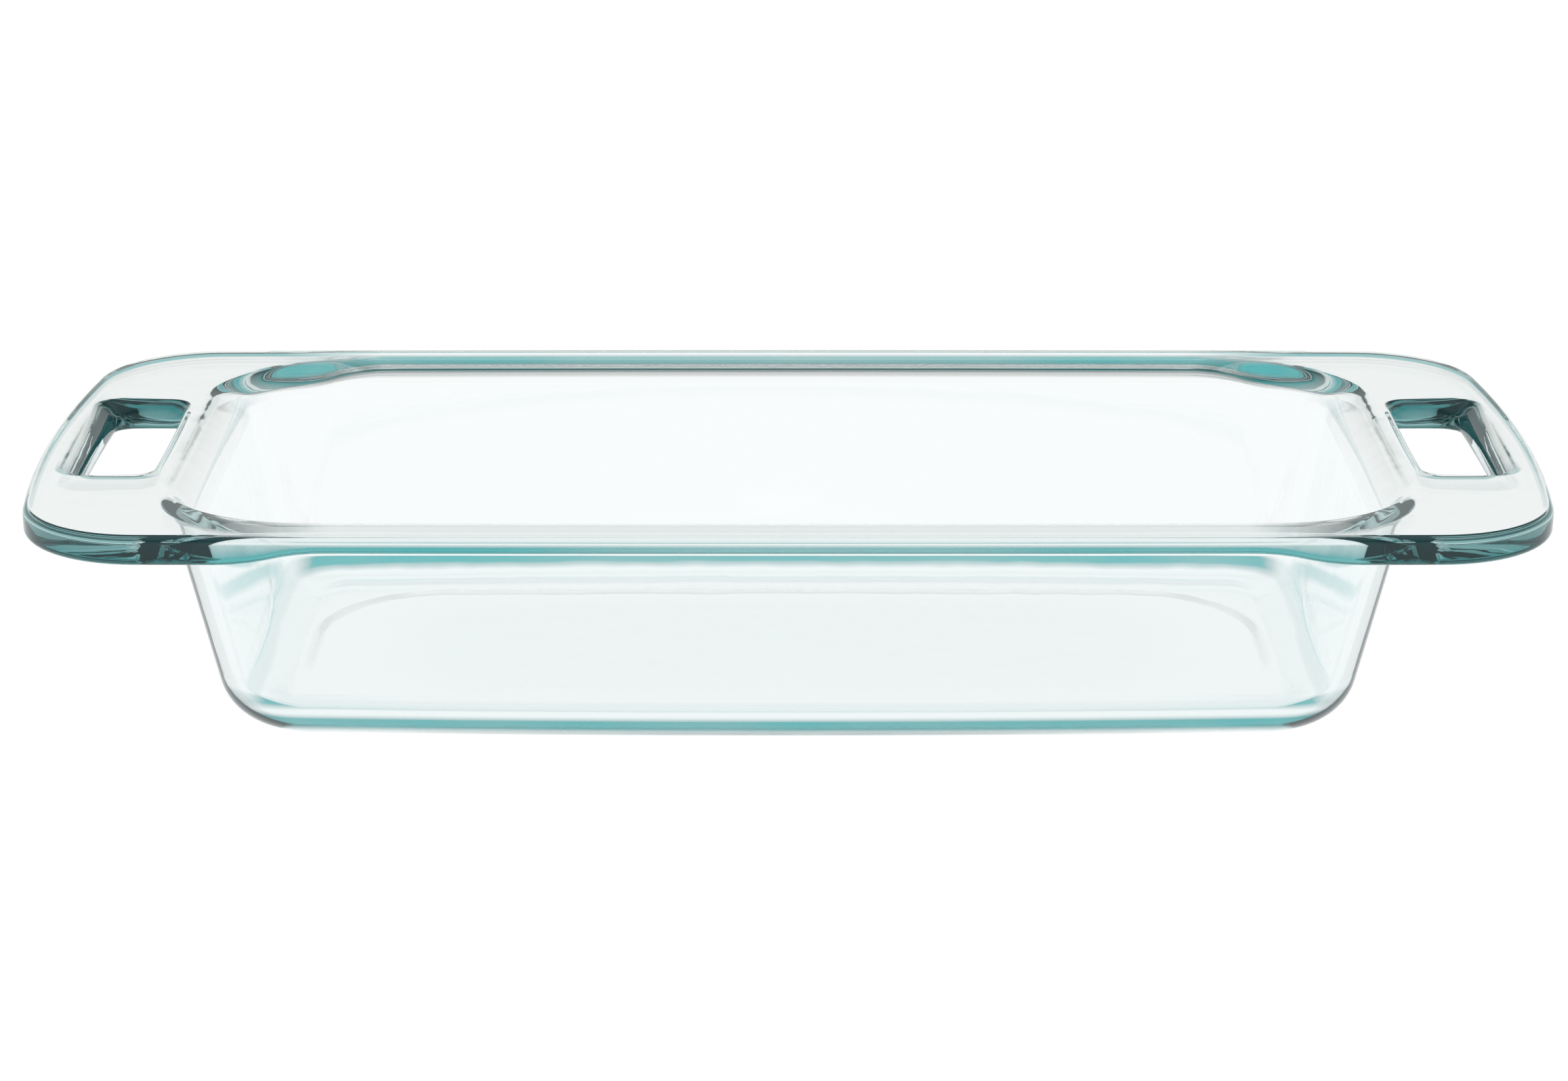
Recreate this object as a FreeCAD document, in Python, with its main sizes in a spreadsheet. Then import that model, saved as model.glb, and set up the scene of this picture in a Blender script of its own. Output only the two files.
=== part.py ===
"""Loaf pan: one pressed-glass dish with a flat rim flange and two slotted end handles.

Frame: millimetres, +X along the length, +Y across, +Z up, origin at the middle of the underside.
The rim is a slab that is thicker at the handles. The outer wall, the cavity and the slots are
lofts through outlines at set heights, so that each rounding can differ between ends and sides.
"""
import FreeCAD
import Part
import Sketcher
import math
import os

V = FreeCAD.Vector

# Driving dimensions in millimetres, as alias and cell content.
# For an outline, x and y are its half-length and half-width at the middle of the sides, a bow is
# how far a side bulges over its whole length, and corner is the radius between two sides.
SIZES = {
    "rim_height": "48",
    "rim_x": "151",
    "rim_y": "68",
    "rim_end_bow": "6.2",
    "rim_side_bow": "0.8",
    "rim_corner": "25",
    "rim_edge": "1.6",
    "side_thick": "3.6",
    "handle_thick": "5.9",
    "side_under": "=rim_height - side_thick",
    "handle_under": "=rim_height - handle_thick",
    "step_start": "88",
    "step_end": "108",
    "base_x": "111",
    "base_y": "53.9",
    "base_bow": "3.2",
    "base_corner": "17",
    "top_x": "121",
    "top_y": "61.2",
    "top_bow": "0.6",
    "top_corner": "19.5",
    "end_bow": "0.8",
    "corner_gain": "2.2",
    "lean": "=(top_x - base_x) / rim_height",
    "full_turn": "=acos(lean / sqrt(1 + lean ^ 2))",
    "reach": "=sqrt(1 + lean ^ 2) - lean",
    "outer_inset": "0",
    "base_level": "0",
    "base_round": "12",
    "end_root": "5",
    "no_round": "0.01",
    "side_root": "3",
    "inner_inset": "4.1",
    "floor_level": "4",
    "floor_round": "9",
    "end_lip": "9",
    "side_lip": "2.4",
    "lip_level": "=rim_height + 0.02",
    "panel_x": "98",
    "panel_y": "36",
    "panel_bow": "1.6",
    "panel_corner": "26",
    "panel_depth": "0.6",
    "slot_low_level": "=handle_under - 3",
    "slot_low_x": "9.6",
    "slot_low_y": "26.4",
    "slot_low_shift": "133.6",
    "slot_waist_level": "=handle_under + 2",
    "slot_waist_x": "7.8",
    "slot_waist_y": "24.6",
    "slot_waist_shift": "133.8",
    "slot_top_level": "=rim_height + 0.5",
    "slot_top_x": "9.2",
    "slot_top_y": "26.8",
    "slot_top_shift": "135",
    "slot_bow": "0.3",
    "slot_corner": "4",
    "slot_edge": "1",
}
TURN_SHARES = (0, 0.1, 0.25, 0.45, 0.65, 0.85, 1)
# Heights between the roundings, as shares of the rim height, that keep the lofted walls straight.
STRAIGHT_SHARES = (0.26, 0.35, 0.5, 0.65, 0.76)

doc = FreeCAD.newDocument("loaf_pan")
sheet = doc.addObject("Spreadsheet::Sheet", "dims")
cell_names = []


def add_cell(name, content):
    """Put one named cell in the next row of the sheet and return its name."""
    cell_names.append(name)
    sheet.set("A%d" % len(cell_names), name)
    sheet.set("B%d" % len(cell_names), content)
    sheet.setAlias("B%d" % len(cell_names), name)
    return name


for alias, text in SIZES.items():
    add_cell(alias, text)
doc.recompute()


def size(name):
    """Number that the sheet holds under an alias."""
    return float(sheet.get(name))


def plane_of(body, role):
    """Origin plane of a body, found by its role name."""
    return next(item for item in body.Origin.OriginFeatures if item.Role == role)


def new_sketch(body, label, role, height=None, shift=None):
    """Sketch on one of the body's own origin planes, lifted and shifted by sheet cells."""
    sketch = body.newObject("Sketcher::SketchObject", label)
    sketch.AttachmentSupport = [(plane_of(body, role), "")]
    sketch.MapMode = "FlatFace"
    if height:
        sketch.setExpression("AttachmentOffset.Base.z", "dims." + height)
    if shift:
        sketch.setExpression("AttachmentOffset.Base.x", "dims." + shift)
    return sketch


def bind(sketch, name, formula, *constraint):
    """Add a dimensional constraint and drive it from the sheet."""
    index = sketch.addConstraint(Sketcher.Constraint(*constraint))
    sketch.renameConstraint(index, name)
    sketch.setExpression("Constraints." + name, formula)


def bowed_outline(sketch, x, y, x_bow, y_bow, corner):
    """Rounded rectangle whose four sides are shallow arcs, as eight tangent arcs."""
    half_x, half_y, end_rise, side_rise, radius = (size(n) for n in (x, y, x_bow, y_bow, corner))
    side_radius = (half_x ** 2 + side_rise ** 2) / (2 * side_rise)
    end_radius = (half_y ** 2 + end_rise ** 2) / (2 * end_rise)
    side_centre = V(0, half_y - side_radius, 0)
    end_centre = V(half_x - end_radius, 0, 0)
    # The corner centre is one corner radius inside both side arcs.
    apart = end_centre - side_centre
    span = apart.Length
    from_side = side_radius - radius
    along = (from_side ** 2 - (end_radius - radius) ** 2 + span ** 2) / (2 * span)
    off = math.sqrt(from_side ** 2 - along ** 2)
    ahead = apart / span
    corner_centre = side_centre + ahead * along + V(ahead.y, -ahead.x, 0) * off
    end_turn = math.atan2(corner_centre.y, corner_centre.x - end_centre.x)
    side_turn = math.atan2(corner_centre.x, corner_centre.y - side_centre.y)
    signs = ((1, 1), (-1, 1), (-1, -1), (1, -1))
    for quarter, (sign_x, sign_y) in enumerate(signs):
        middle = quarter * math.pi / 2
        on_end = quarter % 2 == 0
        sign = 1 if quarter < 2 else -1
        centre = (end_centre if on_end else side_centre) * sign
        side = Part.Circle(centre, V(0, 0, 1), end_radius if on_end else side_radius)
        turn = end_turn if on_end else side_turn
        next_turn = side_turn if on_end else end_turn
        place = V(corner_centre.x * sign_x, corner_centre.y * sign_y, 0)
        bend = Part.Circle(place, V(0, 0, 1), radius)
        sketch.addGeometry(Part.ArcOfCircle(side, middle - turn, middle + turn))
        sketch.addGeometry(Part.ArcOfCircle(bend, middle + turn, middle + math.pi / 2 - next_turn))
    for arc in range(8):
        sketch.addConstraint(Sketcher.Constraint("Tangent", arc, 2, (arc + 1) % 8, 1))
    for arc, axis in ((0, -1), (2, -2), (4, -1), (6, -2)):
        sketch.addConstraint(Sketcher.Constraint("PointOnObject", arc, 3, axis))
    for first, second in ((0, 4), (2, 6), (1, 3), (1, 5), (1, 7)):
        sketch.addConstraint(Sketcher.Constraint("Equal", first, second))
    rule = "(dims.{0} ^ 2 + dims.{1} ^ 2) / (2 * dims.{1})"
    end_rule = rule.format(y, x_bow)
    side_rule = rule.format(x, y_bow)
    end_back = end_rule + " - dims." + x
    side_back = side_rule + " - dims." + y
    bind(sketch, "end_radius", end_rule, "Radius", 0, end_radius)
    bind(sketch, "side_radius", side_rule, "Radius", 2, side_radius)
    bind(sketch, "corner_radius", "dims." + corner, "Radius", 1, radius)
    bind(sketch, "right", end_back, "DistanceX", 0, 3, -1, 1, end_radius - half_x)
    bind(sketch, "far", side_back, "DistanceY", 2, 3, -1, 1, side_radius - half_y)
    bind(sketch, "left", end_back, "DistanceX", -1, 1, 4, 3, end_radius - half_x)
    bind(sketch, "near", side_back, "DistanceY", -1, 1, 6, 3, side_radius - half_y)


def rounding(radius, gap):
    """Formula for how far a rounding stands off the leaning wall, at a gap from its flat plane."""
    pattern = (
        "({gap} < {r} * (1 - cos(full_turn))"
        " ? {r} * reach + lean * {gap} - sqrt(abs({r} ^ 2 - ({r} - {gap}) ^ 2)) : 0)"
    )
    return pattern.format(gap=gap, r=radius)


def heights_round(radius, level, sign):
    """Height formulas spread round one quarter turn that starts flat at a level."""
    return ["{} {} {} * (1 - cos(full_turn * {}))".format(level, sign, radius, share)
            for share in TURN_SHARES]


def heights_straight():
    """Height formulas along the straight part of a wall."""
    return ["{} * rim_height".format(share) for share in STRAIGHT_SHARES]


def wall_outline(name, height, inset, foot, end_head, side_head):
    """Cells for one outline of a wall, a given inset inside the outer wall.

    foot is the rounding into the floor below, as radius and level. end_head and side_head are
    the roundings outward into a flange above, for the ends and for the sides.
    """
    z = add_cell(name + "_z", "=" + height)
    share = "({} / rim_height)".format(z)
    fold = add_cell(name + "_fold", "=" + rounding(foot[0], "({} - {})".format(z, foot[1])))
    end = add_cell(name + "_end", "=" + rounding(end_head[0], "({} - {})".format(end_head[1], z)))
    side = add_cell(name + "_side", "=" + rounding(side_head[0], "({} - {})".format(side_head[1], z)))
    blend = "=base_{0} + (top_{0} - base_{0}) * " + share
    inward = " - {} - {}".format(inset, fold)
    x = add_cell(name + "_x", blend.format("x") + inward + " + " + end)
    y = add_cell(name + "_y", blend.format("y") + inward + " + " + side)
    bow = add_cell(name + "_bow", blend.format("bow"))
    corner = add_cell(name + "_corner", blend.format("corner") + inward + " + corner_gain * " + end)
    return z, x, y, "end_bow", bow, corner


def lofted_body(label, outlines, shifts=None):
    """Body lofted through outlines, each given as height cell and outline cells."""
    doc.recompute()
    body = doc.addObject("PartDesign::Body", label)
    sketches = []
    for index, cells in enumerate(outlines):
        shift = shifts[index] if shifts else None
        sketch = new_sketch(body, "%s_outline_%d" % (label, index), "XY_Plane", cells[0], shift)
        bowed_outline(sketch, *cells[1:])
        sketches.append(sketch)
    doc.recompute()
    loft = body.newObject("PartDesign::AdditiveLoft", label + "_loft")
    loft.Profile = sketches[0]
    loft.Sections = sketches[1:]
    doc.recompute()
    return body


def wall_body(label, heights, **shape):
    """Body lofted through wall outlines at the given heights."""
    outlines = [wall_outline("%s_%d" % (label, index), height, **shape)
                for index, height in enumerate(heights)]
    return lofted_body(label, outlines), outlines


# Rim slab at handle thickness.
rim = doc.addObject("PartDesign::Body", "rim")
rim_sketch = new_sketch(rim, "rim_outline", "XY_Plane", "handle_under")
bowed_outline(rim_sketch, "rim_x", "rim_y", "rim_end_bow", "rim_side_bow", "rim_corner")
slab = rim.newObject("PartDesign::Pad", "rim_slab")
slab.Profile = rim_sketch
slab.setExpression("Length", "dims.handle_thick")

# Underside step: the thick handles run into the thin sides through an S-curve of two equal arcs.
step_sketch = new_sketch(rim, "step_outline", "XZ_Plane")
start, end = size("step_start"), size("step_end")
low, high = size("handle_under"), size("side_under")
below = low - 2
bend = ((end - start) ** 2 + (high - low) ** 2) / (4 * (high - low))
turn = math.asin((end - start) / 2 / bend)
low_circle = Part.Circle(V(end, low + bend, 0), V(0, 0, 1), bend)
high_circle = Part.Circle(V(start, high - bend, 0), V(0, 0, 1), bend)
step_sketch.addGeometry(Part.LineSegment(V(0, below, 0), V(end, below, 0)))
step_sketch.addGeometry(Part.LineSegment(V(end, below, 0), V(end, low, 0)))
step_sketch.addGeometry(Part.ArcOfCircle(low_circle, 1.5 * math.pi - turn, 1.5 * math.pi))
step_sketch.addGeometry(Part.ArcOfCircle(high_circle, 0.5 * math.pi - turn, 0.5 * math.pi))
step_sketch.addGeometry(Part.LineSegment(V(start, high, 0), V(0, high, 0)))
step_sketch.addGeometry(Part.LineSegment(V(0, high, 0), V(0, below, 0)))
for constraint in (
    ("Coincident", 0, 2, 1, 1),
    ("Perpendicular", 1, 2, 2, 2),
    ("Tangent", 2, 1, 3, 1),
    ("Tangent", 3, 2, 4, 1),
    ("Coincident", 4, 2, 5, 1),
    ("Coincident", 5, 2, 0, 1),
    ("Horizontal", 0),
    ("Vertical", 1),
    ("Horizontal", 4),
    ("Vertical", 5),
    ("PointOnObject", 0, 1, -2),
    ("Equal", 2, 3),
):
    step_sketch.addConstraint(Sketcher.Constraint(*constraint))
bind(step_sketch, "outer", "dims.step_end", "DistanceX", 0, 1, 0, 2, end)
bind(step_sketch, "inner", "dims.step_start", "DistanceX", 4, 2, 4, 1, start)
bind(step_sketch, "bottom", "dims.handle_under - 2", "DistanceY", -1, 1, 0, 1, below)
bind(step_sketch, "lower", "2", "DistanceY", 1, 1, 1, 2, 2.0)
bind(step_sketch, "upper", "dims.side_under", "DistanceY", -1, 1, 4, 2, high)
doc.recompute()
step = rim.newObject("PartDesign::Pocket", "rim_step")
step.Profile = step_sketch
step.SideType = "Symmetric"
step.Type = "ThroughAll"
doc.recompute()
steps = rim.newObject("PartDesign::Mirrored", "rim_steps")
steps.Originals = [step]
steps.MirrorPlane = (plane_of(rim, "YZ_Plane"), [""])
rim.Tip = steps
doc.recompute()


def edges_where(shape, test):
    """Names of the edges whose bounding box passes a test."""
    return ["Edge%d" % (i + 1) for i, edge in enumerate(shape.Edges) if test(edge.BoundBox)]


def on_rim_outline(box):
    """True for an edge that follows the rim outline, not one across the slab or up its side."""
    across = box.YLength > 50 and box.XLength < 1e-3
    return box.ZLength < 3 and not across


rim_edges = rim.newObject("PartDesign::Fillet", "rim_edges")
rim_edges.Base = (steps, edges_where(steps.Shape, on_rim_outline))
rim_edges.setExpression("Radius", "dims.rim_edge")
doc.recompute()

# Outer wall up to the underside of the handles.
outer, outer_outlines = wall_body(
    "outer",
    heights_round("base_round", "base_level", "+")
    + heights_straight()
    + heights_round("end_root", "handle_under", "-")[::-1],
    inset="outer_inset",
    foot=("base_round", "base_level"),
    end_head=("end_root", "handle_under"),
    side_head=("no_round", "handle_under"),
)

# Between handle underside and side underside only the long sides turn outward.
handle_end = outer_outlines[-1]
root_outlines = []
for index, height in enumerate(heights_round("side_root", "side_under", "-")[-2::-1]):
    if index == 0:
        height = "handle_under"
    z = add_cell("root_%d_z" % index, "=" + height)
    share = "({} / rim_height)".format(z)
    turned = rounding("side_root", "(side_under - {})".format(z))
    y = add_cell("root_%d_y" % index, "=base_y + (top_y - base_y) * " + share + " + " + turned)
    root_outlines.append((z, handle_end[1], y) + handle_end[3:])
root = lofted_body("root", root_outlines)

# Cavity.
cavity, cavity_outlines = wall_body(
    "cavity",
    heights_round("floor_round", "floor_level", "+")
    + heights_straight()
    + heights_round("end_lip", "lip_level", "-")[::-1],
    inset="inner_inset",
    foot=("floor_round", "floor_level"),
    end_head=("end_lip", "lip_level"),
    side_head=("side_lip", "lip_level"),
)

# Handle slot, narrowest at its waist and widest at the top of its outer side.
slot = lofted_body(
    "slot",
    [("slot_%s_level" % at, "slot_%s_x" % at, "slot_%s_y" % at, "slot_bow", "slot_bow", "slot_corner")
     for at in ("low", "waist", "top")],
    ["slot_%s_shift" % at for at in ("low", "waist", "top")],
)
other_slot = doc.addObject("Part::Mirroring", "other_slot")
other_slot.Source = slot
other_slot.Normal = V(1, 0, 0)

# Shallow panel that lifts the middle of the underside off the table.
panel = doc.addObject("PartDesign::Body", "panel")
panel_sketch = new_sketch(panel, "panel_outline", "XY_Plane")
bowed_outline(panel_sketch, "panel_x", "panel_y", "panel_bow", "panel_bow", "panel_corner")
panel_pad = panel.newObject("PartDesign::Pad", "panel_pad")
panel_pad.Profile = panel_sketch
panel_pad.setExpression("Length", "dims.panel_depth")

solid = doc.addObject("Part::MultiFuse", "solid")
solid.Shapes = [outer, root, rim]
blank = solid
for label, tool in (
    ("hollowed", cavity),
    ("slotted", slot),
    ("both_slotted", other_slot),
    ("relieved", panel),
):
    cut = doc.addObject("Part::Cut", label)
    cut.Base = blank
    cut.Tool = tool
    doc.recompute()
    blank = cut


def on_slot_mouth(box):
    """True for an edge round the top of either slot."""
    within = 124.5 < min(abs(box.XMin), abs(box.XMax)) and max(abs(box.XMin), abs(box.XMax)) < 146
    return within and box.YMin > -28 and box.YMax < 28 and box.ZMin > 44.5 and box.ZLength < 2.6


dish = doc.addObject("Part::Fillet", "glass_dish")
dish.Base = blank
mouth_edges = [int(name[4:]) for name in edges_where(blank.Shape, on_slot_mouth)]
dish.Edges = [(number, size("slot_edge"), size("slot_edge")) for number in mouth_edges]
doc.recompute()

for item in doc.Objects:
    if "Invalid" in item.State or "Error" in item.State:
        raise RuntimeError("%s did not recompute: %s" % (item.Label, item.State))
if dish.Shape.isNull() or not dish.Shape.isValid() or len(dish.Shape.Solids) != 1:
    raise RuntimeError("the dish is not one valid solid")

os.makedirs("parts", exist_ok=True)
dish.Shape.exportStep("parts/glass_dish.step")
box = dish.Shape.optimalBoundingBox(True, False)
print("glass_dish %.2f x %.2f x %.2f mm" % (box.XLength, box.YLength, box.ZLength))
print("volume %.0f mm3, %d faces" % (dish.Shape.Volume, len(dish.Shape.Faces)))
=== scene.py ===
import math

import bmesh
import bpy
import numpy as np
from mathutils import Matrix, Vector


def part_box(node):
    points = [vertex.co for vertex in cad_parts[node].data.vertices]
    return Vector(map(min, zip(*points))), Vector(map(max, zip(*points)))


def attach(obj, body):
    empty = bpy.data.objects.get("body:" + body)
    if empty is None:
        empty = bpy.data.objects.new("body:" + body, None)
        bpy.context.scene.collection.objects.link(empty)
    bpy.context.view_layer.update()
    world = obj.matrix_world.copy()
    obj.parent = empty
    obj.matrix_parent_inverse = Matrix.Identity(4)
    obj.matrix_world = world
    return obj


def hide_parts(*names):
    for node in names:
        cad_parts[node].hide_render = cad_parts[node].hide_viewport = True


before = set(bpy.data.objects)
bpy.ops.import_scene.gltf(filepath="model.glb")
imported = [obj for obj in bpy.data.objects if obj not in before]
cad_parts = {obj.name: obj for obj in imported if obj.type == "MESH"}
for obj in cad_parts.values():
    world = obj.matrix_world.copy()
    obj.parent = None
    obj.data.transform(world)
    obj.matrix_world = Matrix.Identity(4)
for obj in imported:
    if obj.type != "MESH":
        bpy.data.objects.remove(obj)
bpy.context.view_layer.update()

# A clear pressed-glass loaf pan with two slotted end handles, on a white table.
# Shape sizes are in millimetres, in the CAD frame, and become metres when the mesh is made.
MM = 0.001

# The three arcs of a quarter outline, and the signs that turn one quarter into all four.
END, CORNER, SIDE = 0, 1, 2
QUARTERS = ((1, 1), (-1, 1), (-1, -1), (1, -1))

# Rim slab, whose underside steps from the thin sides down to the thick handles.
CAD_HIGH = np.array(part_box("glass_dish")[1]) / MM
RIM_HEIGHT = CAD_HIGH[2]
RIM = dict(x=CAD_HIGH[0], y=CAD_HIGH[1], x_bow=6.2, y_bow=0.8, corner=25.0)
RIM_EDGE = 1.6
SIDE_UNDER = RIM_HEIGHT - 3.6
HANDLE_UNDER = RIM_HEIGHT - 5.9
STEP_START, STEP_END = 88.0, 108.0

# Outer wall outline at the table and at rim height, and the cavity inside it.
BASE = dict(x=111.0, y=53.9, bow=3.2, corner=17.0)
TOP = dict(x=121.0, y=61.2, bow=0.6, corner=19.5)
END_BOW = 0.8
CORNER_GAIN = 2.2
BASE_ROUND = 12.0
END_ROOT, SIDE_ROOT = 5.0, 3.0
WALL = 4.1
FLOOR_LEVEL, FLOOR_ROUND = 4.0, 9.0
END_LIP, SIDE_LIP = 9.0, 2.4

# Shallow panel under the base, with a soft step at its edge.
PANEL = dict(x=98.0, y=36.0, x_bow=1.6, y_bow=1.6, corner=26.0)
PANEL_DEPTH, PANEL_EDGE = 0.6, 2.2

# Slot outlines at three heights: half-length, half-width and distance out from the middle.
SLOT_LEVELS = (HANDLE_UNDER - 3, HANDLE_UNDER + 2, RIM_HEIGHT + 0.5)
SLOT_X = (9.6, 7.8, 9.2)
SLOT_Y = (26.4, 24.6, 26.8)
SLOT_SHIFT = (133.6, 133.8, 135.0)
SLOT_BOW, SLOT_CORNER = 0.3, 4.0
SLOT_INNER_ROUND, SLOT_OUTER_ROUND, SLOT_FOOT_ROUND = 1.0, 2.8, 0.7

# Painted shade, standing in for the dark aqua that long light paths give glass edges: on the rim's lower
# edge, a little weaker in the middle of the long sides and on its first and last rows, on a band round the
# foot that thins at the ends, and on the slots' short walls.
RIM_SHADE_MIDDLE, RIM_SHADE_GAIN, RIM_SHADE_REACH = 0.93, 0.07, 60
RIM_FIRST_SHARE, RIM_LAST_SHARE, RIM_LAST_ROWS = 0.7, 0.5, 2
FOOT_SHADE_LOW, FOOT_SHADE_HIGH, FOOT_SHADE_BLUR = 2.2, 7.0, 0.8
FOOT_END, FOOT_END_BLUR, FOOT_END_SHARE = 111.0, 6, 0.3
SLOT_SHADE, SLOT_SHADE_START, SLOT_SHADE_BLUR = 0.9, 20, 4

# How much light crosses the lip and flange top of the long sides, and the panel's rim, unbent.
SIDE_STRAIGHT, PANEL_STRAIGHT = 0.85, 0.8
STRAIGHT_START, STRAIGHT_END = 88.0, 112.0
LIP_STRAIGHT_ROWS = 18

# Glass: clear, with an aqua colour that builds up along the light's path, and a dark aqua shade painted on
# its edges, where that colour shows most.
GLASS_IOR = 1.47
CLEAR = (1, 1, 1, 1)
PAINTED_EDGE_SHADE = (0.005, 0.22, 0.23, 1)
DEPTH_COLOUR, DEPTH_DENSITY = (0.2, 0.5, 0.5, 1), 14.0
RIPPLE_SCALE, RIPPLE_DEPTH = 55.0, 0.00006
# Noise that makes the painted edge shade a little uneven.
MOTTLE_SCALE, MOTTLE_RANGE, MOTTLE_SHARE = 30.0, (0.3, 0.7), (0.96, 1.0)
# Painted glow: a faint aqua emission from the whole glass, standing in for light trapped inside it, which
# keeps those places aqua, not black.
PAINTED_GLOW_COLOUR, PAINTED_GLOW = (0.10, 0.60, 0.66, 1), 0.012

# Studio, in metres and degrees, with the camera's lens and sensor in millimetres.
FLOOR_HALF, FLOOR_GAP = 6.0, 0.0002
FLOOR_COLOUR, FLOOR_GLOW = (0.05, 0.05, 0.05, 1), 0.98
CAMERA_PITCH, LENS, SENSOR = 18, 90.36, 36
CAMERA_PLACE = (-0.0008, -0.7721, 0.27634)
# World colours, each at the sine of its angle above the horizon.
WORLD_STOPS = (
    (0.0, (0.85, 0.84, 0.82, 1)),
    (0.35, (0.80, 0.79, 0.77, 1)),
    (0.6, (0.15, 0.15, 0.15, 1)),
    (0.9, (0.7, 0.7, 0.7, 1)),
)

# Mesh steps. HOLD is the gap between an edge and the row that keeps the flat beside it flat.
SLOT_HALF_LONG, SLOT_HALF_CORNER, SLOT_HALF_SHORT = 4, 4, 1
BESIDE_SLOT = 4
CORNER_STEPS, SIDE_STEPS = 18, 40
ROUND_STEPS, EDGE_STEPS, WALL_STEPS = 12, 8, 8
LIP_STEPS, ROOT_STEPS, PANEL_STEPS = 22, 20, 6
FLAT_ROWS = 14
INSIDE_SLOT, OUTSIDE_SLOT = 1, 3
SLOT_ROWS = FLAT_ROWS - INSIDE_SLOT - OUTSIDE_SLOT
MIDDLE_SHARES = (0.25, 0.5, 0.75)
HOLD = 0.4
SETTLE_ROUNDS, RELAX_ROUNDS, PROFILE_POINTS = 4, 400, 200

LEAN = (TOP["x"] - BASE["x"]) / RIM_HEIGHT
FULL_TURN = math.acos(LEAN / math.hypot(1, LEAN))
REACH = math.hypot(1, LEAN) - LEAN


class Layout:
    """Which arc each point of a quarter outline lies on, and its share along that arc."""

    def __init__(self, end_shares, corner_steps, side_steps):
        corner = np.arange(1, corner_steps + 1) / corner_steps
        side = np.arange(1, side_steps + 1) / side_steps
        self.share = np.concatenate([end_shares, corner, side])
        self.kind = np.repeat([END, CORNER, SIDE], [len(end_shares), corner_steps, side_steps])

    def quarter(self, x, y, x_bow, y_bow, corner, inset=0.0):
        """Points from the +X axis round to the +Y axis of a rounded rectangle with bowed sides."""
        side_radius = (x ** 2 + y_bow ** 2) / (2 * y_bow)
        end_radius = (y ** 2 + x_bow ** 2) / (2 * x_bow)
        side_centre, end_centre = y - side_radius, x - end_radius
        span = np.hypot(end_centre, side_centre)
        from_side = side_radius - corner
        along = (from_side ** 2 - (end_radius - corner) ** 2 + span ** 2) / (2 * span)
        off = np.sqrt(from_side ** 2 - along ** 2)
        ahead_x, ahead_y = end_centre / span, -side_centre / span
        corner_x = ahead_x * along + ahead_y * off
        corner_y = side_centre + ahead_y * along - ahead_x * off
        end_turn = np.arctan2(corner_y, corner_x - end_centre)
        side_turn = np.arctan2(corner_x, corner_y - side_centre)
        corner_turn = math.pi / 2 - side_turn - end_turn
        angle = np.select(
            [self.kind == END, self.kind == CORNER],
            [end_turn * self.share, end_turn + corner_turn * self.share],
            math.pi / 2 - side_turn * (1 - self.share),
        )
        radius = np.choose(self.kind, [end_radius, corner, side_radius]) - inset
        centre_x = np.choose(self.kind, [end_centre, corner_x, 0.0])
        centre_y = np.choose(self.kind, [0.0, corner_y, side_centre])
        return np.stack([centre_x + radius * np.cos(angle), centre_y + radius * np.sin(angle)], axis=1)


def whole(quarter):
    """Closed ring of points from a quarter that runs from the +X axis to the +Y axis."""
    ahead, back = quarter[:-1], quarter[:0:-1]
    parts = zip((ahead, back, ahead, back), QUARTERS)
    return np.concatenate([points * [sx, sy, 1] for points, (sx, sy) in parts])


def rounding(radius, gap):
    """How far a rounding stands off the leaning wall, at a gap from its flat plane."""
    gap = np.maximum(gap, 0)
    turned = radius * REACH + LEAN * gap - np.sqrt(np.maximum(radius ** 2 - (radius - gap) ** 2, 0))
    return np.where(gap < radius * (1 - math.cos(FULL_TURN)), turned, 0)


def wall_sizes(z, inset, foot, end_head, side_head):
    """Outline sizes of a wall at height z; foot and heads are (radius, level) of its roundings."""
    share = z / RIM_HEIGHT
    inward = inset + rounding(foot[0], z - foot[1])
    end = rounding(end_head[0], end_head[1] - z)
    side = rounding(side_head[0], side_head[1] - z)
    mix = {name: BASE[name] + (TOP[name] - BASE[name]) * share for name in BASE}
    return dict(
        x=mix["x"] - inward + end,
        y=mix["y"] - inward + side,
        x_bow=END_BOW,
        y_bow=mix["bow"],
        corner=mix["corner"] - inward + CORNER_GAIN * end,
    )


def inner_sizes(z):
    """Outline sizes of the cavity wall at height z."""
    return wall_sizes(z, WALL, (FLOOR_ROUND, FLOOR_LEVEL), (END_LIP, RIM_HEIGHT), (SIDE_LIP, RIM_HEIGHT))


def outer_sizes(z, under):
    """Outline sizes of the outer wall at height z, below a flange whose underside is at under."""
    return wall_sizes(z, 0.0, (BASE_ROUND, 0.0), (END_ROOT, under), (SIDE_ROOT, under))


def underside(x):
    """Height of the flange's underside: thin sides, thick handles and an S-curve between them."""
    drop, run = SIDE_UNDER - HANDLE_UNDER, STEP_END - STEP_START
    bend = (run ** 2 + drop ** 2) / (4 * drop)
    first = np.clip(np.abs(x) - STEP_START, 0, run / 2)
    second = np.clip(STEP_END - np.abs(x), 0, run / 2)
    upper = SIDE_UNDER - (bend - np.sqrt(bend ** 2 - first ** 2))
    lower = HANDLE_UNDER + (bend - np.sqrt(bend ** 2 - second ** 2))
    return np.where(np.abs(x) < (STEP_START + STEP_END) / 2, upper, lower)


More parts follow.
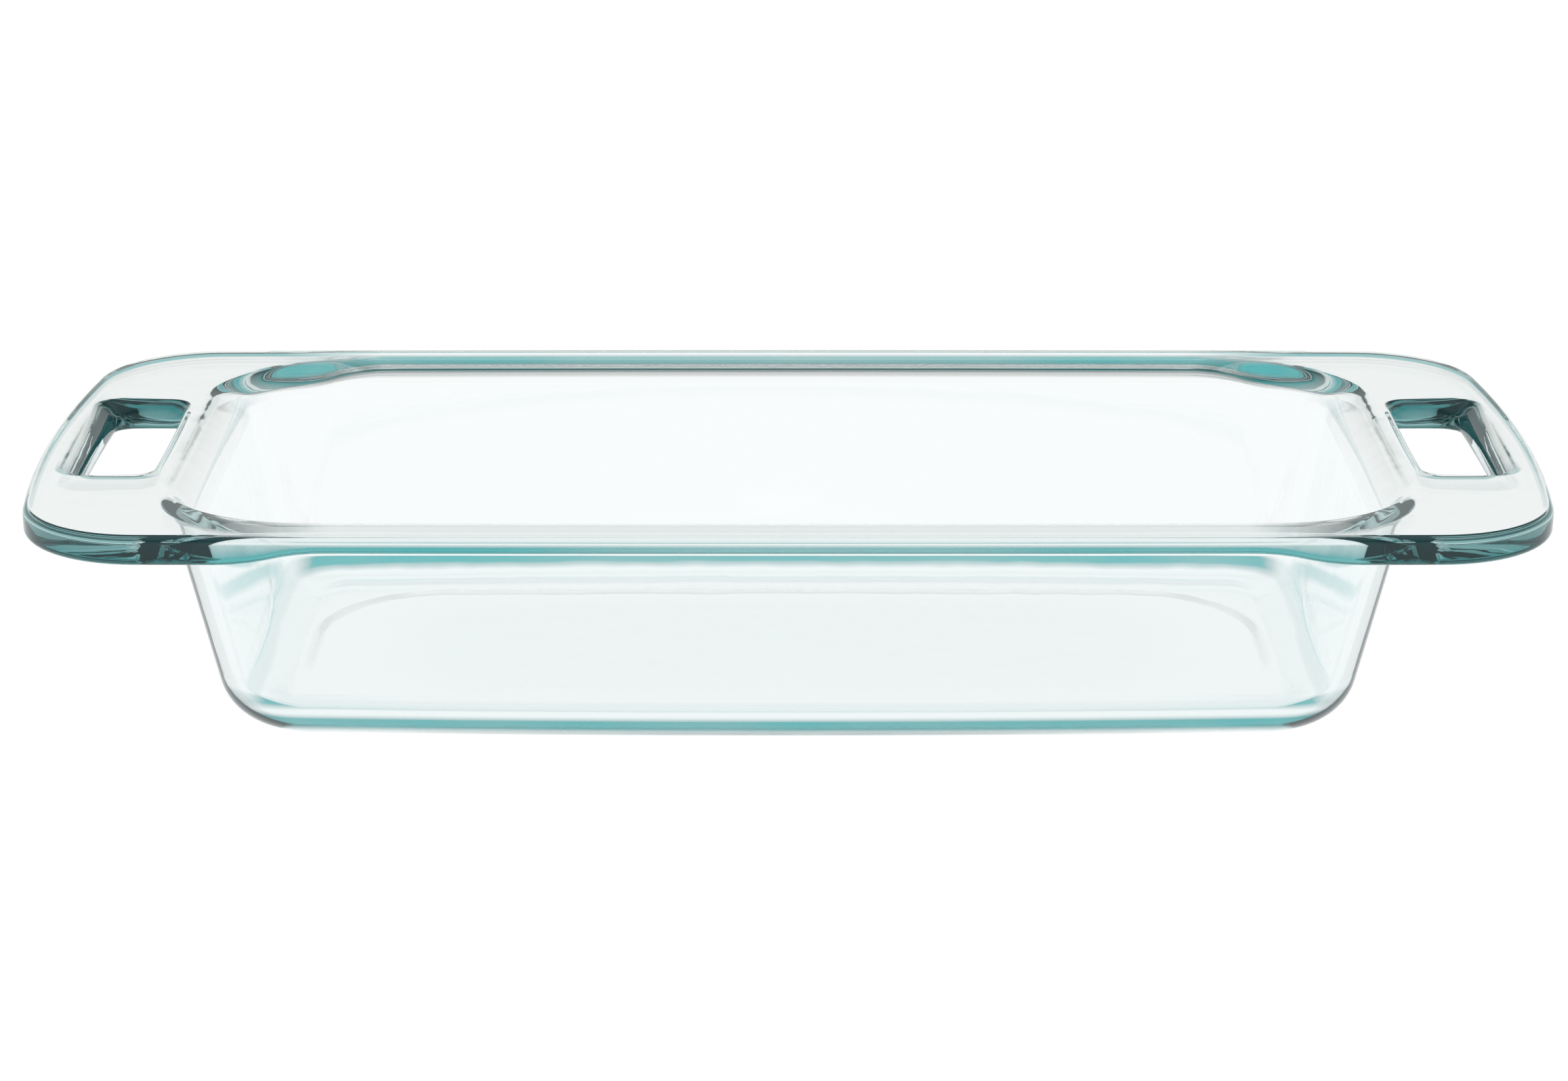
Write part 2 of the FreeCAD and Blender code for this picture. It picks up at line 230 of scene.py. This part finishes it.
# The end columns are spaced to meet the slot: they run along its side, round its corner and then on to
# the end of the arc.
SLOT_CORNER_START, SLOT_CORNER_END, END_HALF = 21.5, 27.0, 31.0
SLOT_COLUMNS = SLOT_HALF_LONG + SLOT_HALF_CORNER
END_COLUMNS = SLOT_COLUMNS + BESIDE_SLOT
along_slot = np.linspace(0, SLOT_CORNER_START, SLOT_HALF_LONG + 1)
round_corner = np.linspace(SLOT_CORNER_START, SLOT_CORNER_END, SLOT_HALF_CORNER + 1)[1:]
beside = np.linspace(SLOT_CORNER_END, END_HALF, BESIDE_SLOT + 1)[1:]
layout = Layout(np.concatenate([along_slot, round_corner, beside]) / END_HALF, CORNER_STEPS, SIDE_STEPS)

slot_shares = np.arange(SLOT_HALF_LONG + 1) / SLOT_HALF_LONG
slot_layout = Layout(slot_shares, 2 * SLOT_HALF_CORNER, SLOT_HALF_SHORT)
slot_quarter = len(slot_layout.share) - 1


def row(sizes, z, inset=0.0):
    """One quarter row of the mesh: an outline with its heights."""
    points = layout.quarter(**sizes, inset=inset)
    return np.column_stack([points, np.broadcast_to(z, len(points))])


def under_row(inset, rise=0.0):
    """Quarter row of the rim outline, at a rise above the flange's underside."""
    points = row(RIM, 0.0, inset)
    points[:, 2] = underside(points[:, 0]) + rise
    return points


def blend_rows(first, last, count):
    """Rows evenly spaced between two rows, without the two."""
    return [first + (last - first) * step / count for step in range(1, count)]


def heights(radius, level, sign, steps):
    """Heights spread round one rounding that starts flat at a level."""
    return [level + sign * radius * (1 - math.cos(FULL_TURN * step / steps)) for step in range(steps + 1)]


# The rows start in the middle of the floor and go up the cavity wall to the end of its lip.
floor_flat = row(inner_sizes(FLOOR_LEVEL), FLOOR_LEVEL, HOLD)
rows = [floor_flat * [share, share, 1] for share in MIDDLE_SHARES] + [floor_flat]
floor_turn = heights(FLOOR_ROUND, FLOOR_LEVEL, 1, ROUND_STEPS)
lip_turn = heights(END_LIP, RIM_HEIGHT, -1, LIP_STEPS)[::-1]
wall_heights = list(np.linspace(floor_turn[-1], lip_turn[0], WALL_STEPS + 1)[1:-1])
rows += [row(inner_sizes(z), z) for z in floor_turn + wall_heights + lip_turn]

# Top of the flange, the rim edge and the underside of the flange.
top_start = len(rows) - 1
rim_top = row(RIM, RIM_HEIGHT, RIM_EDGE + HOLD)
rows += blend_rows(rows[-1], rim_top, FLAT_ROWS)
rows.append(rim_top)
top_end = len(rows) - 1
edge_turn = np.linspace(0, math.pi / 2, EDGE_STEPS + 1)
for turn in edge_turn:
    rows.append(row(RIM, RIM_HEIGHT - RIM_EDGE * (1 - math.cos(turn)), RIM_EDGE * (1 - math.sin(turn))))
rim_face = len(rows) - 2
for turn in edge_turn[::-1]:
    rows.append(under_row(RIM_EDGE * (1 - math.sin(turn)), RIM_EDGE * (1 - math.cos(turn))))
rim_under = under_row(RIM_EDGE + HOLD)
rows.append(rim_under)
under_start = len(rows) - 1

# Each column's root meets the flange at the underside height above it.
root_level = np.full(len(rim_under), SIDE_UNDER)
for repeat in range(SETTLE_ROUNDS):
    root_level = underside(row(outer_sizes(root_level, root_level), 0.0)[:, 0])
root_gaps = heights(END_ROOT, 0.0, 1, ROOT_STEPS)
root_rows = [row(outer_sizes(root_level - gap, root_level), root_level - gap) for gap in root_gaps]
flat_under = blend_rows(rim_under, root_rows[0], FLAT_ROWS)
for flat in flat_under:
    flat[:, 2] = underside(flat[:, 0])
rows += flat_under + root_rows
under_end = under_start + FLAT_ROWS

# The outer wall, the foot, and the base with its panel, in to the middle of the underside.
base_turn = heights(BASE_ROUND, 0.0, 1, ROUND_STEPS)[::-1]
for step in range(1, WALL_STEPS):
    share = step / WALL_STEPS
    z = (root_level - root_gaps[-1]) * (1 - share) + base_turn[0] * share
    rows.append(row(outer_sizes(z, root_level), z))
foot_start = len(rows)
for z in base_turn:
    rows.append(row(outer_sizes(np.full(len(root_level), z), root_level), z))
foot_end = len(rows)
base_flat = outer_sizes(np.zeros(len(root_level)), root_level)
rows.append(row(base_flat, 0.0, HOLD))
panel_start = len(rows)
rows.append(row(PANEL, 0.0, -PANEL_EDGE - HOLD))
for turn in np.linspace(0, math.pi, PANEL_STEPS + 1):
    rise = PANEL_DEPTH * (1 - math.cos(turn)) / 2
    rows.append(row(PANEL, rise, -PANEL_EDGE + 2 * PANEL_EDGE * turn / math.pi))
panel_flat = row(PANEL, PANEL_DEPTH, PANEL_EDGE + HOLD)
rows.append(panel_flat)
panel_end = len(rows)
rows += [panel_flat * [share, share, 1] for share in MIDDLE_SHARES[::-1]]

grid = np.array([whole(quarter) for quarter in rows])
ring_size = grid.shape[1]


def end_height(sizes_at, levels):
    """Function giving the height of a wall's flared end at plan points, flat beyond its last level."""
    across = [sizes_at(level) for level in levels]
    reach = np.array([sizes["x"] for sizes in across])
    end_radius = np.array([
        (sizes["y"] ** 2 + sizes["x_bow"] ** 2) / (2 * sizes["x_bow"]) for sizes in across
    ])

    def height(points):
        found = []
        for x, y in points:
            place = reach - end_radius + np.sqrt(end_radius ** 2 - y ** 2)
            found.append(np.interp(x, place, levels))
        return np.array(found)

    return height


# How far a rounding has left its flat plane, in radii, from the end of its turn to the start.
TURN_DROPS = 1 - np.cos(np.linspace(FULL_TURN, 0, PROFILE_POINTS))
top_height = end_height(inner_sizes, RIM_HEIGHT - END_LIP * TURN_DROPS)
under_height = end_height(lambda z: outer_sizes(z, HANDLE_UNDER), HANDLE_UNDER - END_ROOT * TURN_DROPS)


def slot_outline(z, inset=0.0):
    """Slot outline points at per-point heights, in order round the right-hand slot."""
    a, b, c = SLOT_LEVELS
    weights = (
        (z - b) * (z - c) / ((a - b) * (a - c)),
        (z - a) * (z - c) / ((b - a) * (b - c)),
        (z - a) * (z - b) / ((c - a) * (c - b)),
    )
    x, y, shift = (sum(w * v for w, v in zip(weights, values)) for values in (SLOT_X, SLOT_Y, SLOT_SHIFT))
    order = np.concatenate([np.arange(slot_quarter), np.arange(slot_quarter, 0, -1)] * 2)
    points = np.zeros((len(order), 2))
    inset = np.broadcast_to(inset, len(order))
    signs = np.repeat(QUARTERS, slot_quarter, axis=0)
    for spot, (index, sign) in enumerate(zip(order, signs)):
        sizes = (x[spot], y[spot], SLOT_BOW, SLOT_BOW, SLOT_CORNER, inset[spot])
        points[spot] = slot_layout.quarter(*sizes)[index] * sign + [shift[spot], 0]
    return points


def slot_edge(height, guess, step):
    """Rounded slot edge: points on the flange, at the sharp edge and on the slot wall.

    step is how far the rounding reaches down the slot wall, less than zero where it reaches up.
    """
    z = np.full(4 * slot_quarter, guess)
    for repeat in range(SETTLE_ROUNDS):
        z = height(slot_outline(z))
    sharp = np.column_stack([slot_outline(z), z])
    flange = slot_outline(z, -np.abs(step))
    on_flange = np.column_stack([flange, height(flange)])
    on_wall = np.column_stack([slot_outline(z - step), z - step])
    return on_flange, sharp, on_wall


def curve_between(start, middle, end, steps):
    """Rows along the smooth curve from start to end that heads for middle, without its ends."""
    shares = [step / steps for step in range(1, steps)]
    return [start * (1 - t) ** 2 + middle * 2 * t * (1 - t) + end * t ** 2 for t in shares]


# Rows down the right-hand slot, whose mouth is rounded most on the side away from the dish.
outward = slot_outline(np.full(4 * slot_quarter, RIM_HEIGHT))[:, 0] - SLOT_SHIFT[2]
outwardness = (1 + np.clip(outward / SLOT_X[2], -1, 1)) / 2
mouth_round = SLOT_INNER_ROUND + (SLOT_OUTER_ROUND - SLOT_INNER_ROUND) * outwardness ** 2
slot_mouth = slot_edge(top_height, RIM_HEIGHT, mouth_round)
slot_foot = slot_edge(under_height, HANDLE_UNDER, -SLOT_FOOT_ROUND)
high, low = slot_mouth[2][:, 2], slot_foot[2][:, 2]
slot_rows = [slot_mouth[0]] + curve_between(*slot_mouth, EDGE_STEPS) + [slot_mouth[2]]
for step in range(1, WALL_STEPS):
    z = high + (low - high) * step / WALL_STEPS
    slot_rows.append(np.column_stack([slot_outline(z), z]))
slot_rows += [slot_foot[2]] + curve_between(*slot_foot[::-1], EDGE_STEPS) + [slot_foot[0]]


def loop_cells(inner_row, outer_row):
    """Grid cells (row, column) round the right-hand slot, in the slot outline's order."""
    toward = 1 if inner_row > outer_row else -1
    columns = np.arange(-SLOT_COLUMNS, SLOT_COLUMNS + 1)
    inward = outer_row + toward * np.arange(SLOT_ROWS + 1)
    cells = [(outer_row, c) for c in columns[SLOT_COLUMNS:]]
    cells += [(r, SLOT_COLUMNS) for r in inward[1:]]
    cells += [(inner_row, c) for c in columns[::-1][1:]]
    cells += [(r, -SLOT_COLUMNS) for r in inward[::-1][1:]]
    cells += [(outer_row, c) for c in columns[1:SLOT_COLUMNS]]
    return cells


def relax(first, last, cells, loop, height):
    """Spread the grid of the right-hand end evenly round the slot, then copy it to the left."""
    columns = np.arange(-END_COLUMNS, END_COLUMNS + 1)
    block = grid[first:last + 1][:, columns].copy()
    share = np.linspace(0, 1, last - first + 1)[:, None, None]
    middle = slice(1, -1)
    block[:, middle] = (block[0] * (1 - share) + block[-1] * share)[:, middle]
    spots = tuple(np.array([(r - first, c + END_COLUMNS) for r, c in cells]).T)
    for repeat in range(RELAX_ROUNDS):
        block[spots] = loop
        spread = (block[:-2, 1:-1] + block[2:, 1:-1] + block[1:-1, :-2] + block[1:-1, 2:]) / 4
        block[1:-1, 1:-1] = spread
    block[spots] = loop
    inside = block[1:-1, 1:-1]
    inside[..., 2] = height(inside[..., :2].reshape(-1, 2)).reshape(inside.shape[:2])
    block[spots] = loop
    grid[first:last + 1, columns] = block
    grid[first:last + 1, columns + ring_size // 2] = block * [-1, -1, 1]


top_cells = loop_cells(top_start + INSIDE_SLOT, top_end - OUTSIDE_SLOT)
under_cells = loop_cells(under_end - INSIDE_SLOT, under_start + OUTSIDE_SLOT)
relax(top_start, top_end, top_cells, slot_mouth[0], top_height)
relax(under_start, under_end, under_cells, slot_foot[0], under_height)

# Weights per grid point: how strongly the dark aqua shade is painted on it, and how far light crosses it
# unbent.
painted_shade_weights = np.zeros(grid.shape[:2])
along = np.abs(grid[rim_face, :, 0])
rim_shade = RIM_SHADE_MIDDLE + RIM_SHADE_GAIN * np.clip(along / RIM_SHADE_REACH, 0, 1)
painted_shade_weights[rim_face + 1:under_start] = rim_shade
painted_shade_weights[rim_face + 1] *= RIM_FIRST_SHARE
painted_shade_weights[under_start - RIM_LAST_ROWS:under_start] *= RIM_LAST_SHARE
foot_band = grid[foot_start:foot_end]
above = np.clip((foot_band[..., 2] - FOOT_SHADE_LOW) / FOOT_SHADE_BLUR, 0, 1)
below = np.clip((FOOT_SHADE_HIGH - foot_band[..., 2]) / FOOT_SHADE_BLUR, 0, 1)
inside_ends = np.clip((FOOT_END - np.abs(foot_band[..., 0])) / FOOT_END_BLUR, FOOT_END_SHARE, 1)
painted_shade_weights[foot_start:foot_end] = above * below * inside_ends
on_side = np.clip((STRAIGHT_END - np.abs(grid[..., 0])) / (STRAIGHT_END - STRAIGHT_START), 0, 1)
straight_weights = np.zeros(grid.shape[:2])
straight_weights[top_start - LIP_STRAIGHT_ROWS:rim_face - EDGE_STEPS // 2] = SIDE_STRAIGHT
straight_weights *= on_side
straight_weights[panel_start:panel_end] = PANEL_STRAIGHT


def build_dish():
    """Mesh of the dish: the ring grid with two holes at each end, and the two slot walls."""
    bm = bmesh.new()
    edge = bm.verts.layers.float.new("edge")
    straight = bm.verts.layers.float.new("straight")
    made = [[None] * ring_size for ring in grid]
    skipped = set()
    for cells in (top_cells, under_cells):
        low, high = min(r for r, c in cells), max(r for r, c in cells)
        for r in range(low, high):
            for c in range(-SLOT_COLUMNS, SLOT_COLUMNS):
                skipped |= {(r, c % ring_size), (r, (c + ring_size // 2) % ring_size)}

    def vertex(r, c):
        c %= ring_size
        if made[r][c] is None:
            made[r][c] = bm.verts.new(grid[r][c] * MM)
            made[r][c][edge] = painted_shade_weights[r, c]
            made[r][c][straight] = straight_weights[r, c]
        return made[r][c]

    for r in range(len(grid) - 1):
        for c in range(ring_size):
            if (r, c) not in skipped:
                bm.faces.new([vertex(r, c), vertex(r, c + 1), vertex(r + 1, c + 1), vertex(r + 1, c)])
    for r in (0, len(grid) - 1):
        bm.faces.new([vertex(r, c) for c in range(ring_size)])
    for turn, shift in ((1, 0), (-1, ring_size // 2)):
        rings = [[vertex(r, c + shift) for r, c in top_cells]]
        for points in slot_rows[1:-1]:
            rings.append([bm.verts.new(point * [turn, turn, 1] * MM) for point in points])
            for corner in rings[-1]:
                # Painted dark aqua shade on the slots' short walls.
                toward_end = (abs(corner.co.y) / MM - SLOT_SHADE_START) / SLOT_SHADE_BLUR
                corner[edge] = SLOT_SHADE * min(max(toward_end, 0), 1)
        rings.append([vertex(r, c + shift) for r, c in under_cells])
        for upper, lower in zip(rings, rings[1:]):
            for i in range(len(upper)):
                bm.faces.new([upper[i - 1], upper[i], lower[i], lower[i - 1]])
    bmesh.ops.recalc_face_normals(bm, faces=bm.faces)
    for face in bm.faces:
        face.smooth = True
    mesh = bpy.data.meshes.new("pan_glass")
    bm.to_mesh(mesh)
    bm.free()
    return mesh


def attribute(nodes, name):
    """Output that reads a weight from the mesh."""
    node = nodes.new("ShaderNodeAttribute")
    node.attribute_name = name
    return node.outputs["Fac"]


def noise(nodes, links, place, scale):
    """Output of a noise texture that is fixed to the object."""
    node = nodes.new("ShaderNodeTexNoise")
    node.inputs["Scale"].default_value = scale
    links.new(place, node.inputs["Vector"])
    return node.outputs["Fac"]


def glass_material():
    """Pressed glass, with a dark aqua shade painted where light gathers along its edges, a faint painted
    aqua glow, and a faint ripple in its surface.
    """
    material = bpy.data.materials.new("glass")
    material.use_nodes = True
    nodes, links = material.node_tree.nodes, material.node_tree.links
    nodes.clear()
    out = nodes.new("ShaderNodeOutputMaterial")
    shader = nodes.new("ShaderNodeBsdfPrincipled")
    shader.inputs["Transmission Weight"].default_value = 1.0
    shader.inputs["Roughness"].default_value = 0.0
    shader.inputs["IOR"].default_value = GLASS_IOR
    # Painted glow: a faint aqua emission standing in for light trapped in the glass.
    shader.inputs["Emission Color"].default_value = PAINTED_GLOW_COLOUR
    shader.inputs["Emission Strength"].default_value = PAINTED_GLOW
    links.new(shader.outputs["BSDF"], out.inputs["Surface"])

    place = nodes.new("ShaderNodeTexCoord").outputs["Object"]
    ripple = noise(nodes, links, place, RIPPLE_SCALE)
    bump = nodes.new("ShaderNodeBump")
    bump.inputs["Distance"].default_value = RIPPLE_DEPTH
    links.new(ripple, bump.inputs["Height"])
    links.new(bump.outputs["Normal"], shader.inputs["Normal"])

    # Painted shade: a dark aqua mixed into the glass colour by the edge weights, made a little uneven by
    # noise.
    edge = attribute(nodes, "edge")
    painted_shade = nodes.new("ShaderNodeMix")
    painted_shade.data_type = "RGBA"
    painted_shade.inputs["A"].default_value = CLEAR
    painted_shade.inputs["B"].default_value = PAINTED_EDGE_SHADE
    mottle = noise(nodes, links, place, MOTTLE_SCALE)
    uneven = nodes.new("ShaderNodeMapRange")
    uneven.inputs["From Min"].default_value, uneven.inputs["From Max"].default_value = MOTTLE_RANGE
    uneven.inputs["To Min"].default_value, uneven.inputs["To Max"].default_value = MOTTLE_SHARE
    links.new(mottle, uneven.inputs["Value"])
    amount = nodes.new("ShaderNodeMath")
    amount.operation = "MULTIPLY"
    links.new(edge, amount.inputs[0])
    links.new(uneven.outputs["Result"], amount.inputs[1])
    links.new(amount.outputs["Value"], painted_shade.inputs["Factor"])
    links.new(painted_shade.outputs["Result"], shader.inputs["Base Color"])

    straight = attribute(nodes, "straight")
    bent = nodes.new("ShaderNodeMath")
    bent.operation = "SUBTRACT"
    bent.inputs[0].default_value = 1.0
    links.new(straight, bent.inputs[1])
    links.new(bent.outputs["Value"], shader.inputs["Alpha"])

    volume = nodes.new("ShaderNodeVolumeAbsorption")
    volume.inputs["Color"].default_value = DEPTH_COLOUR
    volume.inputs["Density"].default_value = DEPTH_DENSITY
    links.new(volume.outputs["Volume"], out.inputs["Volume"])
    return material


pan = bpy.data.objects.new("pan_glass", build_dish())
bpy.context.collection.objects.link(pan)
pan.data.materials.append(glass_material())
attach(pan, "root")
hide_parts("glass_dish")


def pale_floor():
    """Wide white light table."""
    mesh = bpy.data.meshes.new("floor")
    corners = [(x * FLOOR_HALF, y * FLOOR_HALF, -FLOOR_GAP) for x, y in ((-1, -1), (1, -1), (1, 1), (-1, 1))]
    mesh.from_pydata(corners, [], [(0, 1, 2, 3)])
    floor = bpy.data.objects.new("floor", mesh)
    bpy.context.collection.objects.link(floor)
    white = bpy.data.materials.new("floor_white")
    white.use_nodes = True
    shader = white.node_tree.nodes["Principled BSDF"]
    shader.inputs["Base Color"].default_value = FLOOR_COLOUR
    shader.inputs["Roughness"].default_value = 1.0
    shader.inputs["Specular IOR Level"].default_value = 0.0
    shader.inputs["Emission Color"].default_value = (1, 1, 1, 1)
    shader.inputs["Emission Strength"].default_value = FLOOR_GLOW
    mesh.materials.append(white)


def studio_world():
    """Soft grey room: pale at the horizon, dark above it and softer overhead."""
    world = bpy.data.worlds.new("studio")
    bpy.context.scene.world = world
    world.use_nodes = True
    nodes, links = world.node_tree.nodes, world.node_tree.links
    place = nodes.new("ShaderNodeTexCoord")
    split = nodes.new("ShaderNodeSeparateXYZ")
    ramp = nodes.new("ShaderNodeValToRGB")
    links.new(place.outputs["Generated"], split.inputs["Vector"])
    links.new(split.outputs["Z"], ramp.inputs["Fac"])
    stops = ramp.color_ramp.elements
    for stop, (position, colour) in zip(stops, (WORLD_STOPS[0], WORLD_STOPS[-1])):
        stop.position, stop.color = position, colour
    for position, colour in WORLD_STOPS[1:-1]:
        stops.new(position).color = colour
    links.new(ramp.outputs["Color"], nodes["Background"].inputs["Color"])


def camera():
    """Camera above one long side, looking a little down on the rim."""
    data = bpy.data.cameras.new("camera")
    data.sensor_width = SENSOR
    data.lens = LENS
    view = bpy.data.objects.new("camera", data)
    bpy.context.collection.objects.link(view)
    view.location = CAMERA_PLACE
    view.rotation_euler = (math.radians(90 - CAMERA_PITCH), 0, 0)
    bpy.context.scene.camera = view


pale_floor()
studio_world()
camera()
bpy.context.scene.view_settings.view_transform = "Standard"
